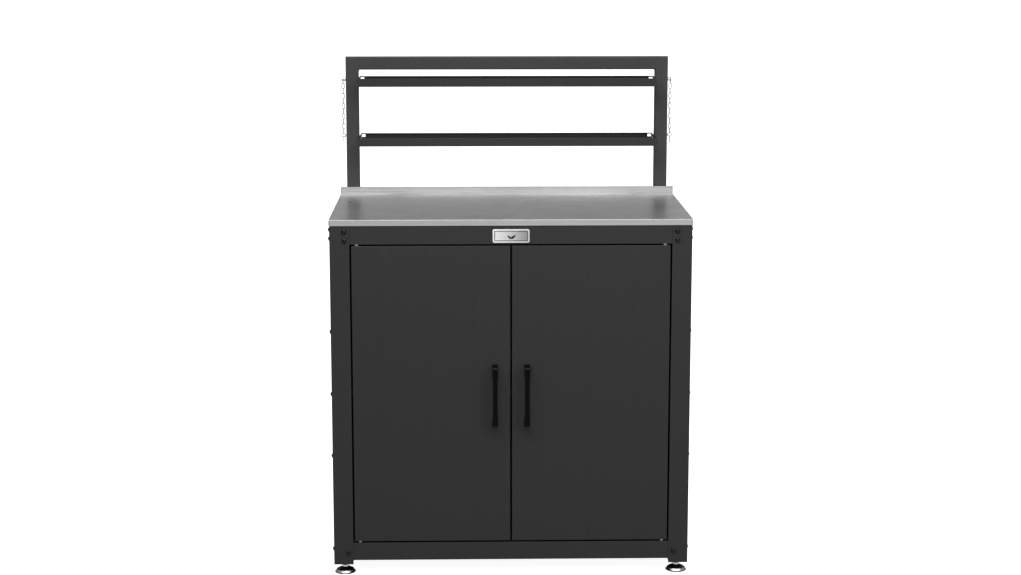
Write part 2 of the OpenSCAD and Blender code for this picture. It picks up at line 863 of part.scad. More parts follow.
module right_handle_screws() {
    color("#b4b6b8") placed() mirror([1, 0, 0]) handle_screws();
}

module tube_profile() {
    difference() {
        round_rect(tube_w, tube_w, tube_r);
        round_rect(tube_w - 2 * tube_t, tube_w - 2 * tube_t, tube_r - tube_t);
    }
}

// Cuts a tube along the mitre at the rack's top left corner, from a height across the mitre
module mitre_cut(from) {
    translate([-rack_w / 2, rack_y - 1, rack_h]) rotate([0, 45, 0])
        translate([-2 * tube_w, 0, from]) cube([4 * tube_w, tube_w + 2, 2 * tube_w]);
}

// Places of the tray bolts on the inner face of the left upright, with heads towards the tray
module tray_bolt_places() {
    for (y = tray_bolt_ys, z = tray_bolt_zs) {
        translate([-upright_x, y, z]) rotate([0, 90, 0]) children();
    }
}

// Places of the bolts that hold the left upright to the rear leg, with heads to the rear
module rack_bolt_places() {
    for (z = [bolt_z1, bolt_z2, rack_bolt_low_z]) {
        translate([-half_w + bolt_in, rack_back, z]) rotate([-90, 0, 0]) children();
    }
}

module upright() {
    difference() {
        translate([-rack_w / 2 + tube_w / 2, rack_y + tube_w / 2, upright_z])
            linear_extrude(rack_h - upright_z) tube_profile();
        mitre_cut(0);
        tray_bolt_places() cylinder(r = tray_bolt_r + bolt_fit, h = 6 * tube_t, center = true);
        rack_bolt_places() translate([0, 0, -2 * tube_w]) cylinder(r = plate_hole_r, h = 3 * tube_w);
        translate([-rack_w / 2, chain_y, chain_pin_z]) rotate([0, 90, 0])
            cylinder(r = chain_pin_r, h = 6 * tube_t, center = true);
    }
}

module left_upright() {
    color("#45464a") placed() upright();
}

module right_upright() {
    color("#45464a") placed() mirror([1, 0, 0]) upright();
}

module rack_top_rail() {
    inner = rack_w / 2 - tube_w;
    color("#45464a") placed() {
        difference() {
            translate([-rack_w / 2, rack_y + tube_w / 2, rack_h - tube_w / 2]) rotate([0, 90, 0])
                linear_extrude(rack_w) tube_profile();
            both_sides() mitre_cut(-2 * tube_w);
        }
        both_sides() translate([-inner, rack_y + tube_r, rack_h - tube_w]) rotate([-90, 0, 0])
            linear_extrude(tube_w - 2 * tube_r) difference() {
                square(weld_r);
                translate([weld_r, weld_r]) circle(weld_r);
            }
    }
}

module upright_plugs() {
    plug_w = tube_w - 2 * tube_t - 0.4;
    color("#1c1c1d") placed() both_sides()
        translate([-rack_w / 2 + tube_w / 2, rack_y + tube_w / 2, upright_z]) {
            linear_extrude(12) round_rect(plug_w, plug_w, 1);
            translate([0, 0, -2]) linear_extrude(2) round_rect(tube_w, tube_w, tube_r);
        }
}

module rack_bolts() {
    color("#232426") placed() both_sides() rack_bolt_places()
        bolt(bolt_r, bolt_head_r, bolt_head_h, tube_w + bolt_l);
}

// A folded tray whose underside is on z = 0 and whose front is on y = 0
module tray(d) {
    slot_w = 10;
    slot_h = 7;
    slot_drop = 3.5;
    fold = 5;
    difference() {
        union() {
            difference() {
                block([-tray_w / 2, 0, 0], [tray_w / 2, d, tray_wall]);
                block([-tray_w / 2 + tray_t, tray_t, tray_t],
                      [tray_w / 2 - tray_t, d - tray_t, tray_wall + 1]);
            }
            block([-tray_w / 2, d - fold, tray_wall - tray_t], [tray_w / 2, d, tray_wall]);
            block([-tray_w / 2, 0, tray_wall - tray_t], [tray_w / 2, fold, tray_wall]);
        }
        both_sides() block([-tray_w / 2 + tray_t + 1, d - 2 * fold, tray_wall - slot_drop - slot_h],
                           [-tray_w / 2 + tray_t + 1 + slot_w, d + 1, tray_wall - slot_drop]);
    }
}

module tray_holes() {
    both_sides() tray_bolt_places() cylinder(r = tray_bolt_r + bolt_fit, h = 6 * tray_gap, center = true);
}

module upper_tray() {
    color("#424346") placed() difference() {
        translate([0, upper_tray_y, upper_tray_z]) tray(upper_tray_d);
        tray_holes();
    }
}

module lower_tray() {
    color("#424346") placed() difference() {
        translate([0, lower_tray_y, lower_tray_z]) tray(lower_tray_d);
        tray_holes();
    }
}

// Tray bolts with their heads inside the trays, and the washers that space the trays
module tray_bolts() {
    color("#b9bbbd") placed() both_sides() tray_bolt_places() {
        translate([0, 0, tray_gap + tray_t]) bolt(tray_bolt_r, 4.6, 2.6, tray_gap + tray_t + tube_t + 6);
        difference() {
            cylinder(r = 5.5, h = tray_gap);
            translate([0, 0, -1]) cylinder(r = tray_bolt_r + running_fit, h = tray_gap + 2);
        }
    }
}

// A ring of round wire about the Y axis
module wire_ring(r, wire) {
    rotate([90, 0, 0]) rotate_extrude() translate([r, 0]) circle(wire, $fn = 24);
}

// A D-shaped ring in the XZ plane, with balls where its bow meets the bar
module d_ring() {
    low_angle = asin(ring_bar_drop / ring_r);
    half_bar = ring_r * cos(low_angle);
    rotate([90, 0, 0]) rotate([0, 0, -low_angle])
        rotate_extrude(angle = 180 + 2 * low_angle) translate([ring_r, 0]) circle(ring_wire, $fn = 24);
    translate([0, 0, -ring_bar_drop]) {
        rotate([0, 90, 0]) cylinder(r = ring_wire, h = 2 * half_bar, center = true);
        for (s = [-1, 1]) translate([s * half_bar, 0, 0]) sphere(ring_ball_r);
    }
}

// A shouldered pin riveted through the side of an upright, with a collar and a head
module chain_pin() {
    translate([-rack_w / 2, chain_y, chain_pin_z]) rotate([0, -90, 0]) {
        translate([0, 0, -tube_t - 1.5]) cylinder(r = chain_pin_r + 1.5, h = 1.5);
        translate([0, 0, -tube_t - 0.1])
            cylinder(r = chain_pin_r - running_fit, h = tube_t + chain_out + wire_r + face_gap + 0.2);
        cylinder(r = chain_pin_head_r, h = chain_out - wire_r - face_gap);
        translate([0, 0, chain_out + wire_r + face_gap]) cylinder(r = chain_pin_head_r, h = 1.8);
    }
}

module chain_pins() {
    color("#c4c6c8") placed() both_sides() chain_pin();
}

// One link, upright in the XZ plane
module link() {
    for (s = [0, 180]) rotate([0, s, 0]) {
        translate([0, 0, link_straight / 2]) rotate([90, 0, 0])
            rotate_extrude(angle = 180) translate([link_bend, 0]) circle(wire_r, $fn = 24);
        translate([link_bend, 0, -link_straight / 2]) cylinder(r = wire_r, h = link_straight, $fn = 24);
    }
}

module chain() {
    for (i = [0:links - 1]) {
        translate([-chain_x, chain_y, first_link_z - i * link_pitch])
            rotate([0, 0, i % 2 == 0 ? 90 : 0]) link();
    }
    translate([-chain_x, chain_y, ring_z]) d_ring();
}

module left_chain() {
    color("#c4c6c8") placed() chain();
}

module right_chain() {
    color("#c4c6c8") placed() mirror([1, 0, 0]) chain();
}

// A small open hook with a closed eye, lying in the YZ plane
module hook() {
    translate([-chain_x, chain_y, 0]) rotate([0, 0, 90]) {
        translate([0, 0, hook_eye_z]) wire_ring(hook_eye_r, wire_r);
        translate([0, 0, hook_z + hook_r - hook_stem_r])
            cylinder(r = hook_stem_r, h = hook_stem + hook_stem_r);
        translate([0, 0, hook_z]) rotate([90, 0, 0]) rotate([0, 0, 165])
            rotate_extrude(angle = 285) translate([hook_r, 0]) circle(wire_r, $fn = 24);
    }
}

module left_hook() {
    color("#c4c6c8") placed() hook();
}

module right_hook() {
    color("#c4c6c8") placed() mirror([1, 0, 0]) hook();
}

module foot_pad() {
    translate([-half_w + foot_in, foot_in, 0]) {
        cylinder(r = pad_r, h = pad_rim_h);
        translate([0, 0, pad_rim_h])
            cylinder(r1 = pad_r - pad_step, r2 = pad_r - 2 * pad_step, h = pad_dish_h - pad_rim_h);
        translate([0, 0, pad_dish_h])
            cylinder(r1 = pad_r - 3 * pad_step, r2 = seat_r, h = pad_h - pad_dish_h);
    }
}

// A threaded stud with its hexagonal collar resting on the pad
module foot_stud() {
    translate([-half_w + foot_in, foot_in, pad_h]) {
        cylinder(r = seat_r - 0.5, h = stud_collar_h, $fn = 6);
        cylinder(r = stud_r, h = stud_top - pad_h);
    }
}

module left_front_foot_pad() {
    color("#161617") placed() foot_pad();
}

module left_front_foot_stud() {
    color("#c4c6c8") placed() foot_stud();
}

module right_front_foot_pad() {
    color("#161617") placed() mirror([1, 0, 0]) foot_pad();
}

module right_front_foot_stud() {
    color("#c4c6c8") placed() mirror([1, 0, 0]) foot_stud();
}

module left_rear_foot_pad() {
    color("#161617") placed() to_rear() foot_pad();
}

module left_rear_foot_stud() {
    color("#c4c6c8") placed() to_rear() foot_stud();
}

module right_rear_foot_pad() {
    color("#161617") placed() to_rear() mirror([1, 0, 0]) foot_pad();
}

module right_rear_foot_stud() {
    color("#c4c6c8") placed() to_rear() mirror([1, 0, 0]) foot_stud();
}

left_front_leg();
right_front_leg();
left_rear_leg();
right_rear_leg();
front_top_rail();
rear_top_rail();
side_top_rails();
front_bottom_rail();
rear_bottom_rail();
side_bottom_rails();
left_side_panel();
right_side_panel();
back_panel();
bottom_panel();
inner_shelf();
shelf_angles();
foot_plates();
foot_nuts();
worktop();
worktop_stiffeners();
worktop_studs();
nameplate();
frame_bolts();
frame_nuts();
door_catch();
left_pivot_pins();
right_pivot_pins();
left_door_panel();
left_door_stiffeners();
left_door_bushes();
left_strike_plate();
left_handle();
left_handle_screws();
right_door_panel();
right_door_stiffeners();
right_door_bushes();
right_strike_plate();
right_handle();
right_handle_screws();
left_upright();
right_upright();
rack_top_rail();
upright_plugs();
rack_bolts();
upper_tray();
lower_tray();
tray_bolts();
chain_pins();
left_chain();
right_chain();
left_hook();
right_hook();
left_front_foot_pad();
left_front_foot_stud();
right_front_foot_pad();
right_front_foot_stud();
left_rear_foot_pad();
left_rear_foot_stud();
right_rear_foot_pad();
right_rear_foot_stud();
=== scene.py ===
"""A steel potting bench.

A two-door cabinet on levelling feet carries a stainless worktop, and behind it stands a tube
rack with two trays and a tool chain on each side.
"""

import json
import math

import bmesh
import bpy
from mathutils import Matrix, Vector

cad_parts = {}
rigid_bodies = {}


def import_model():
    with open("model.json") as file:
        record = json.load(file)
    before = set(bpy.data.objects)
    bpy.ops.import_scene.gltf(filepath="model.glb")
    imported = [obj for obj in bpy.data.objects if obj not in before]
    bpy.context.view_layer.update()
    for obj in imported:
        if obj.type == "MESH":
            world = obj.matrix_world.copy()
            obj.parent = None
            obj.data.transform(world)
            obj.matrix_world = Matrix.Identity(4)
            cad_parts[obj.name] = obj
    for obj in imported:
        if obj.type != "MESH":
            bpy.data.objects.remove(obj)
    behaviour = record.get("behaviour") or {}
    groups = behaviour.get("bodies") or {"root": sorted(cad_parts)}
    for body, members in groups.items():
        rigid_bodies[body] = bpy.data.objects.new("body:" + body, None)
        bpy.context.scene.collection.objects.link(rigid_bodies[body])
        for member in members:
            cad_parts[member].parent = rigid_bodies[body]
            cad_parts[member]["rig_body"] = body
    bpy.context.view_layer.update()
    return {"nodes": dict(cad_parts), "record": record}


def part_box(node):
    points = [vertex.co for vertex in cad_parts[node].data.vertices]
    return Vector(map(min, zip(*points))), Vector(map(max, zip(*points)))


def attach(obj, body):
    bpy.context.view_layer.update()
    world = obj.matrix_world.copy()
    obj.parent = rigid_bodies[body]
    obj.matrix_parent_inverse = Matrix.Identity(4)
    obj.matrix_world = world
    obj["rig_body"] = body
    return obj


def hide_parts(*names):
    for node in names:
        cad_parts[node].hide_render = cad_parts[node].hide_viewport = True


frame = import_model()

MM = 0.001
SIDES = ["left", "right"]
CORNERS = ["left_front", "right_front", "left_rear", "right_rear"]

# Sheet metal: how round its folds and cut rims are
FOLD_R = 1.2 * MM
LIP_FOLD_R = 2.4 * MM
SHELF_FOLD_R = 1.5 * MM
TRAY_FOLD_R = 1.4 * MM
RIM_R = 0.3 * MM
# A face narrower than this is the cut rim of a sheet, and a shorter edge is left sharp
RIM_FACE_W = 2.2 * MM
SHORT_EDGE = 4.5 * MM
# Points closer than this are one point
TOUCH = 0.01 * MM

# Colours, in linear light
CHARCOAL = (0.0362, 0.0362, 0.0365, 1)
CHARCOAL_DOOR = (0.0355, 0.0355, 0.0358, 1)
CHARCOAL_RACK = (0.053, 0.053, 0.0535, 1)
# The trays take a darker copy of the rack paint: painted shade
CHARCOAL_TRAY_PAINTED_SHADE = (0.031, 0.031, 0.0313, 1)
CHARCOAL_INSIDE = (0.034, 0.034, 0.0343, 1)
# Edge colours: worn paint and metal, and also a painted highlight along folds and rims
RUB_AND_HIGHLIGHT = (0.075, 0.075, 0.078, 1)
RUB_AND_HIGHLIGHT_STEEL = (0.8, 0.8, 0.8, 1)
RUB_AND_HIGHLIGHT_PLATE = (0.93, 0.93, 0.93, 1)
BLACK_PAINT = (0.0018, 0.0018, 0.0019, 1)
BLACK_OXIDE = (0.0025, 0.0025, 0.0027, 1)
BLACK_PLASTIC = (0.009, 0.009, 0.0095, 1)
RUBBER = (0.005, 0.005, 0.0055, 1)
ENGRAVING = (0.012, 0.012, 0.013, 1)
NYLON = (0.72, 0.7, 0.64, 1)
STAINLESS = (0.74, 0.745, 0.74, 1)
ZINC = (0.5, 0.51, 0.53, 1)
TURNED_STEEL = (0.58, 0.58, 0.59, 1)
CHROME = (0.72, 0.72, 0.74, 1)
WHITE = (1, 1, 1, 1)


# Shader building blocks

def add(tree, kind, inputs=None, **settings):
    """Adds a node; a socket given as an input is linked, anything else is its value."""
    made = tree.nodes.new(kind)
    for name, value in settings.items():
        setattr(made, name, value)
    for name, value in (inputs or {}).items():
        if isinstance(value, bpy.types.NodeSocket):
            tree.links.new(value, made.inputs[name])
        else:
            made.inputs[name].default_value = value
    return made


def maths(tree, operation, a, b=0.0):
    return add(tree, "ShaderNodeMath", {0: a, 1: b}, operation=operation).outputs[0]


def weighed(tree, a, share_a, b, share_b):
    """Two values added in the given shares."""
    return maths(tree, "ADD", maths(tree, "MULTIPLY", a, share_a), maths(tree, "MULTIPLY", b, share_b))


def noise(tree, vector, scale, detail=2.0, distortion=0.0):
    values = {"Vector": vector, "Scale": scale, "Detail": detail, "Distortion": distortion}
    return add(tree, "ShaderNodeTexNoise", values).outputs["Fac"]


def spread(tree, value, low, high, to_low, to_high):
    """Stretches the range low..high of a value to to_low..to_high, smoothly."""
    values = {"Value": value, "From Min": low, "From Max": high, "To Min": to_low, "To Max": to_high}
    return add(tree, "ShaderNodeMapRange", values, interpolation_type="SMOOTHSTEP").outputs["Result"]


def stretched(tree, vector, scale):
    return add(tree, "ShaderNodeMapping", {"Vector": vector, "Scale": scale}).outputs["Vector"]


def mixed(tree, factor, a, b):
    made = add(tree, "ShaderNodeMix", {0: factor, 6: a, 7: b}, data_type="RGBA")
    return made.outputs[2]


def brightened(tree, colour, value):
    return add(tree, "ShaderNodeVectorMath", {0: colour, "Scale": value}, operation="SCALE").outputs[0]


FINISH_SOCKETS = [("Colour", "NodeSocketColor"), ("Roughness", "NodeSocketFloat"),
                  ("Height", "NodeSocketFloat")]


def new_group(name, takes, gives):
    """An empty shader node group: returns its tree, the inputs it takes and the outputs it gives."""
    tree = bpy.data.node_groups.new(name, "ShaderNodeTree")
    for label, kind, value in takes:
        socket = tree.interface.new_socket(name=label, in_out="INPUT", socket_type=kind)
        if value is not None:
            socket.default_value = value
    for label, kind in gives:
        tree.interface.new_socket(name=label, in_out="OUTPUT", socket_type=kind)
    return tree, add(tree, "NodeGroupInput").outputs, add(tree, "NodeGroupOutput").inputs


def powder_grain_group():
    """Powder coat: a cloudy film thickness, orange peel and a fine grit."""
    tree, takes, gives = new_group(
        "powder_grain",
        [("Vector", "NodeSocketVector", None), ("Colour", "NodeSocketColor", (1, 1, 1, 1)),
         ("Cloud", "NodeSocketFloat", 0.1), ("Peel Scale", "NodeSocketFloat", 420.0),
         ("Roughness", "NodeSocketFloat", 0.5)],
        FINISH_SOCKETS)
    cloud = noise(tree, takes["Vector"], 3.2, 4.0, 0.6)
    peel = noise(tree, takes["Vector"], takes["Peel Scale"], 1.5)
    grit = noise(tree, takes["Vector"], 2400.0, 1.0)
    swing = maths(tree, "MULTIPLY", maths(tree, "SUBTRACT", cloud, 0.5), takes["Cloud"])
    speck = maths(tree, "MULTIPLY", maths(tree, "SUBTRACT", grit, 0.5), 0.5)
    tone = maths(tree, "ADD", maths(tree, "ADD", 1.0, maths(tree, "MULTIPLY", swing, 4.0)), speck)
    rough = maths(tree, "ADD", takes["Roughness"], maths(tree, "MULTIPLY", swing, 0.8))
    dimples = maths(tree, "MULTIPLY", maths(tree, "SUBTRACT", peel, 0.5), 0.12)
    rough = maths(tree, "ADD", rough, dimples)
    height = weighed(tree, peel, 0.75, grit, 0.25)
    tree.links.new(brightened(tree, takes["Colour"], tone), gives["Colour"])
    tree.links.new(rough, gives["Roughness"])
    tree.links.new(height, gives["Height"])
    return tree


def edge_rub_and_highlight_group():
    """Wear and a painted highlight along folds and rims: broken up along its length, strongest on the
    edge itself.
    """
    tree, takes, gives = new_group(
        "edge_rub_and_highlight",
        [("Vector", "NodeSocketVector", None), ("Edge", "NodeSocketFloat", 0.0),
         ("Amount", "NodeSocketFloat", 0.4)],
        [("Mask", "NodeSocketFloat")])
    patches = spread(tree, noise(tree, takes["Vector"], 14.0, 3.0), 0.42, 0.72, 0.25, 1.0)
    nibbles = spread(tree, noise(tree, takes["Vector"], 260.0, 3.0), 0.35, 0.65, 0.35, 1.0)
    worn_and_highlit = maths(tree, "MULTIPLY", maths(tree, "MULTIPLY", patches, nibbles), takes["Edge"])
    tree.links.new(maths(tree, "MULTIPLY", worn_and_highlit, takes["Amount"]), gives["Mask"])
    return tree


def brushed_lines_group():
    """The lines that a brushing belt leaves: fine ones, and broad bands where the belt overlapped."""
    tree, takes, gives = new_group(
        "brushed_lines",
        [("Vector", "NodeSocketVector", None), ("Colour", "NodeSocketColor", (1, 1, 1, 1)),
         ("Roughness", "NodeSocketFloat", 0.3), ("Contrast", "NodeSocketFloat", 1.0)],
        FINISH_SOCKETS)
    fine = noise(tree, stretched(tree, takes["Vector"], (7, 1500, 1500)), 1.0, 2.0)
    coarse = noise(tree, stretched(tree, takes["Vector"], (2.5, 260, 260)), 1.0, 2.0)
    cloud = noise(tree, takes["Vector"], 5.0, 3.0, 1.0)
    lines = weighed(tree, fine, 0.65, coarse, 0.35)
    swing = maths(tree, "MULTIPLY", maths(tree, "SUBTRACT", lines, 0.5), takes["Contrast"])
    smear = maths(tree, "MULTIPLY", maths(tree, "SUBTRACT", cloud, 0.5), 0.12)
    tone = maths(tree, "ADD", 1.0, maths(tree, "ADD", maths(tree, "MULTIPLY", swing, 0.35), smear))
    streaks = maths(tree, "ADD", maths(tree, "MULTIPLY", swing, 0.3), smear)
    rough = maths(tree, "ADD", takes["Roughness"], streaks)
    tree.links.new(brightened(tree, takes["Colour"], tone), gives["Colour"])
    tree.links.new(rough, gives["Roughness"])
    tree.links.new(lines, gives["Height"])
    return tree


def plating_group():
    """Plated and turned small parts: a mottled film, fine handling marks and dull spots."""
    tree, takes, gives = new_group(
        "plating",
        [("Vector", "NodeSocketVector", None), ("Colour", "NodeSocketColor", (1, 1, 1, 1)),
         ("Roughness", "NodeSocketFloat", 0.25)],
        FINISH_SOCKETS)
    film = noise(tree, takes["Vector"], 120.0, 3.0, 0.8)
    marks = noise(tree, takes["Vector"], 1600.0, 3.0)
    dull = spread(tree, noise(tree, takes["Vector"], 45.0, 2.0), 0.5, 0.75, 0.0, 0.2)
    tone = spread(tree, film, 0.3, 0.7, 0.82, 1.08)
    wear = maths(tree, "ADD", dull, maths(tree, "MULTIPLY", marks, 0.1))
    rough = maths(tree, "ADD", takes["Roughness"], wear)
    tree.links.new(brightened(tree, takes["Colour"], tone), gives["Colour"])
    tree.links.new(rough, gives["Roughness"])
    tree.links.new(marks, gives["Height"])
    return tree


def moulding_group():
    """Moulded plastic and rubber: a spark-eroded texture and a slight drift of colour."""
    tree, takes, gives = new_group(
        "moulding",
        [("Vector", "NodeSocketVector", None), ("Colour", "NodeSocketColor", (1, 1, 1, 1)),
         ("Roughness", "NodeSocketFloat", 0.6)],
        FINISH_SOCKETS)
    drift = noise(tree, takes["Vector"], 30.0, 3.0)
    texture = noise(tree, takes["Vector"], 1300.0, 2.0)
    tone = spread(tree, drift, 0.25, 0.75, 0.85, 1.2)
    sparkle = maths(tree, "MULTIPLY", maths(tree, "SUBTRACT", texture, 0.5), 0.25)
    rough = maths(tree, "ADD", takes["Roughness"], sparkle)
    tree.links.new(brightened(tree, takes["Colour"], tone), gives["Colour"])
    tree.links.new(rough, gives["Roughness"])
    tree.links.new(texture, gives["Height"])
    return tree


GRAIN = powder_grain_group()
EDGE_RUB_AND_HIGHLIGHT = edge_rub_and_highlight_group()
BRUSHED = brushed_lines_group()
PLATING = plating_group()
MOULDING = moulding_group()


# Materials

def start_material(name):
    """A new material: returns it, its tree, its shader and its Object coordinates."""
    made = bpy.data.materials.new(name)
    made.use_nodes = True
    tree = made.node_tree
    return made, tree, tree.nodes["Principled BSDF"], add(tree, "ShaderNodeTexCoord").outputs["Object"]


def use_group(tree, group, inputs):
    return add(tree, "ShaderNodeGroup", inputs, node_tree=group).outputs


def set_bump(tree, shader, height, strength, depth):
    values = {"Height": height, "Strength": strength, "Distance": depth}
    tree.links.new(add(tree, "ShaderNodeBump", values).outputs["Normal"], shader.inputs["Normal"])


# Folds and rims are lightened: edge wear, and a painted highlight
def rub_and_highlight_edges(tree, place, amount):
    edge = add(tree, "ShaderNodeAttribute", attribute_name="edge").outputs["Fac"]
    return use_group(tree, EDGE_RUB_AND_HIGHLIGHT, {"Vector": place, "Edge": edge, "Amount": amount})["Mask"]


def powder_coat(name, colour, roughness=0.46, cloud=0.01, rub_and_highlight=0.45, gloss=0.12):
    made, tree, shader, place = start_material(name)
    shader.inputs["Specular IOR Level"].default_value = gloss
    film = use_group(tree, GRAIN, {"Vector": place, "Colour": colour, "Cloud": cloud,
                                   "Roughness": roughness})
    rub_and_highlight_mask = rub_and_highlight_edges(tree, place, rub_and_highlight)
    tree.links.new(mixed(tree, rub_and_highlight_mask, film["Colour"], RUB_AND_HIGHLIGHT), shader.inputs["Base Color"])
    tree.links.new(maths(tree, "SUBTRACT", film["Roughness"], maths(tree, "MULTIPLY", rub_and_highlight_mask, 0.12)),
                   shader.inputs["Roughness"])
    set_bump(tree, shader, film["Height"], 0.35, 0.06 * MM)
    return made


def brushed_metal(name, colour, roughness, contrast, depth):
    made, tree, shader, place = start_material(name)
    lines = use_group(tree, BRUSHED, {"Vector": place, "Colour": colour, "Roughness": roughness,
                                      "Contrast": contrast})
    rub_and_highlight_mask = rub_and_highlight_edges(tree, place, 0.5)
    tree.links.new(mixed(tree, rub_and_highlight_mask, lines["Colour"], RUB_AND_HIGHLIGHT_STEEL), shader.inputs["Base Color"])
    tree.links.new(lines["Roughness"], shader.inputs["Roughness"])
    shader.inputs["Metallic"].default_value = 1.0
    set_bump(tree, shader, lines["Height"], 0.5, depth)
    return made


# The width over which the nameplate's painted sheen runs from light to dark
PLATE_SPAN = 80 * MM


def plate_with_painted_sheen(name, light, dark):
    """A brushed plate with a painted sheen: its colour runs from light to dark across its width,
    standing in for a reflection.
    """
    made, tree, shader, place = start_material(name)
    across = add(tree, "ShaderNodeSeparateXYZ", {0: place}).outputs["X"]
    span = {"Value": across, "From Min": -PLATE_SPAN / 2, "From Max": PLATE_SPAN / 2,
            "To Min": light, "To Max": dark}
    tone = add(tree, "ShaderNodeMapRange", span).outputs["Result"]
    lines = use_group(tree, BRUSHED, {"Vector": place, "Colour": WHITE, "Roughness": 0.3,
                                      "Contrast": 0.5})
    rub_and_highlight_mask = rub_and_highlight_edges(tree, place, 0.6)
    painted_sheen_colour = brightened(tree, lines["Colour"], tone)
    tree.links.new(mixed(tree, rub_and_highlight_mask, painted_sheen_colour, RUB_AND_HIGHLIGHT_PLATE), shader.inputs["Base Color"])
    tree.links.new(lines["Roughness"], shader.inputs["Roughness"])
    shader.inputs["Metallic"].default_value = 0.35
    set_bump(tree, shader, lines["Height"], 0.5, 0.012 * MM)
    return made


def plated_metal(name, colour, roughness):
    made, tree, shader, place = start_material(name)
    film = use_group(tree, PLATING, {"Vector": place, "Colour": colour, "Roughness": roughness})
    tree.links.new(film["Colour"], shader.inputs["Base Color"])
    tree.links.new(film["Roughness"], shader.inputs["Roughness"])
    shader.inputs["Metallic"].default_value = 1.0
    set_bump(tree, shader, film["Height"], 0.3, 0.02 * MM)
    return made


def moulded(name, colour, roughness):
    made, tree, shader, place = start_material(name)
    skin = use_group(tree, MOULDING, {"Vector": place, "Colour": colour, "Roughness": roughness})
    rub_and_highlight_mask = rub_and_highlight_edges(tree, place, 0.3)
    rub_and_highlight_colour = tuple(min(1.0, 0.05 + 1.5 * c) for c in colour[:3]) + (1,)
    tree.links.new(mixed(tree, rub_and_highlight_mask, skin["Colour"], rub_and_highlight_colour), shader.inputs["Base Color"])
    tree.links.new(skin["Roughness"], shader.inputs["Roughness"])
    set_bump(tree, shader, skin["Height"], 0.35, 0.05 * MM)
    return made


MATERIALS = {
    "frame_paint": powder_coat("charcoal_frame_coat", CHARCOAL),
    "panel_paint": powder_coat("charcoal_panel_coat", CHARCOAL_INSIDE, 0.5),
    "door_paint": powder_coat("charcoal_door_coat", CHARCOAL_DOOR, 0.45, cloud=0.009),
    "rack_paint": powder_coat("charcoal_rack_coat", CHARCOAL_RACK, 0.48),
    "worktop_steel": brushed_metal("brushed_stainless", STAINLESS, 0.3, contrast=1.0, depth=0.02 * MM),
    "zinc_hardware": plated_metal("bright_zinc", ZINC, 0.22),
    "pin_steel": plated_metal("turned_steel", TURNED_STEEL, 0.2),
    "plate_metal": plate_with_painted_sheen("brushed_aluminium_painted_sheen", 0.97, 0.33),
    "black_bolts": powder_coat("black_oxide", BLACK_OXIDE, 0.08, cloud=0.03, rub_and_highlight=0.1, gloss=0.27),
    "handle_paint": powder_coat("satin_black", BLACK_PAINT, 0.24, cloud=0.04, rub_and_highlight=0.06, gloss=0.07),
    "black_plastic": moulded("moulded_black", BLACK_PLASTIC, 0.55),
    "nylon": moulded("natural_nylon", NYLON, 0.5),
    "foot_rubber": moulded("foot_rubber", RUBBER, 0.36),
    "stud_chrome": plated_metal("plated_thread", CHROME, 0.16),
}
ENGRAVED = moulded("engraving_fill", ENGRAVING, 0.5)
# The plate's rim takes a painted sheen too, from light to dark
FOOT_RING = plated_metal("foot_ring_steel", ZINC, 0.25)
PLATE_RIM_PAINTED_SHEEN = plate_with_painted_sheen("polished_rim_painted_sheen", 1.0, 0.7)
# A darker copy of the rack paint for the trays: painted shade
TRAY_COAT_PAINTED_SHADE = powder_coat("charcoal_tray_coat_painted_shade", CHARCOAL_TRAY_PAINTED_SHADE, 0.48)


# Making pieces

def finish_piece(bm, name, node, slot, more_materials=(), finish=None):
    """Makes an object of a bmesh, on the body and in place of a CAD node, with flat faces kept flat."""
    mesh = bpy.data.meshes.new(name)
    bm.to_mesh(mesh)
    bm.free()
    mesh.shade_smooth()
    mesh.set_sharp_from_angle(angle=math.radians(38))
    for material in [finish or MATERIALS[slot], *more_materials]:
        mesh.materials.append(material)
    piece = bpy.data.objects.new(name, mesh)
    bpy.context.scene.collection.objects.link(piece)
    flat = piece.modifiers.new("flat_faces", "WEIGHTED_NORMAL")
    flat.keep_sharp = True
    flat.weight = 100
    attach(piece, frame["nodes"][node]["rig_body"])
    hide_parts(node)
    return piece


def verts_of(geom):
    return [g for g in geom if isinstance(g, bmesh.types.BMVert)]


def pull(bm, faces, move):
    """Extrudes faces and moves their new ends: returns everything that the extrude made."""
    made = bmesh.ops.extrude_face_region(bm, geom=faces)["geom"]
    bmesh.ops.translate(bm, vec=move, verts=verts_of(made))
    return made


def join(bm, part):
    """Adds one bmesh to another and frees it."""
    scratch = bpy.data.meshes.new("part")
    part.to_mesh(scratch)
    part.free()
    bm.from_mesh(scratch)
    bpy.data.meshes.remove(scratch)


def merged_copy(node):
    """A bmesh of a CAD node with its triangles joined into whole faces."""
    bm = bmesh.new()
    bm.from_mesh(frame["nodes"][node].data)
    for layer in list(bm.loops.layers.uv.values()):
        bm.loops.layers.uv.remove(layer)
    bmesh.ops.remove_doubles(bm, verts=bm.verts, dist=0.004 * MM)
    bmesh.ops.dissolve_limit(bm, angle_limit=math.radians(0.5), verts=bm.verts, edges=bm.edges)
    return bm


def mark_rounding(made, layer, amount=1.0):
    """Marks the middle of a rounded edge for the wear and painted highlight, so that the flat faces
    beside it stay clean.
    """
    rounding = set(made["faces"])
    for vert in made["verts"]:
        if all(face in rounding for face in vert.link_faces):
            vert[layer] = amount


def face_width(face, edge):
    return face.calc_area() / max(edge.calc_length(), 1e-9)


